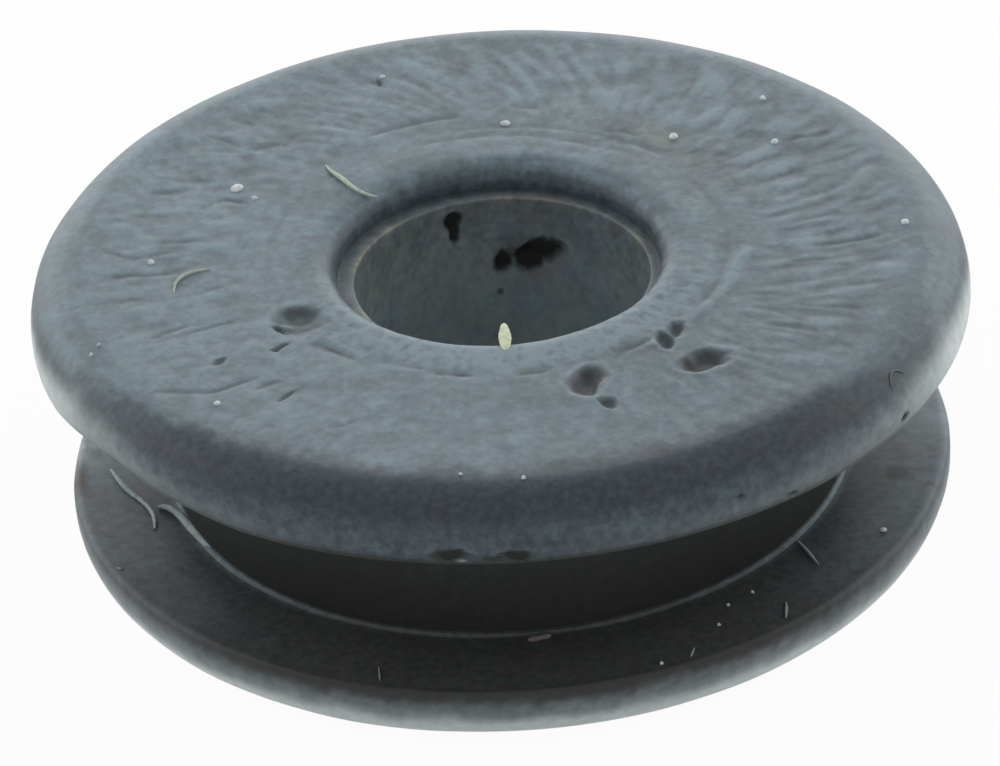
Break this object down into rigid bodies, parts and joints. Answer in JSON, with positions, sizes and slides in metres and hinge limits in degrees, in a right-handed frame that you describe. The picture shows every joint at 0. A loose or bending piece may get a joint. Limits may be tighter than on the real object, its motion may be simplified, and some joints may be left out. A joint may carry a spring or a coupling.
{
  "type": "rubber grommet",
  "caption": "Round moulded rubber grommet with two flanges, a panel groove between them and a stepped central bore.",
  "frame": {"origin": "centre of the lower flange's outer face, on the bore's axis", "axes": "+Z along the bore, from the smaller lower flange to the larger upper flange; +X to the right and -Y towards the viewer"},
  "size_m": [0.02, 0.02, 0.0065],
  "materials": {
    "black_rubber": "matt moulded rubber with a pale bloom"
  },
  "bodies": {
    "root": {"grommet": "black_rubber"}
  },
  "joints": []
}
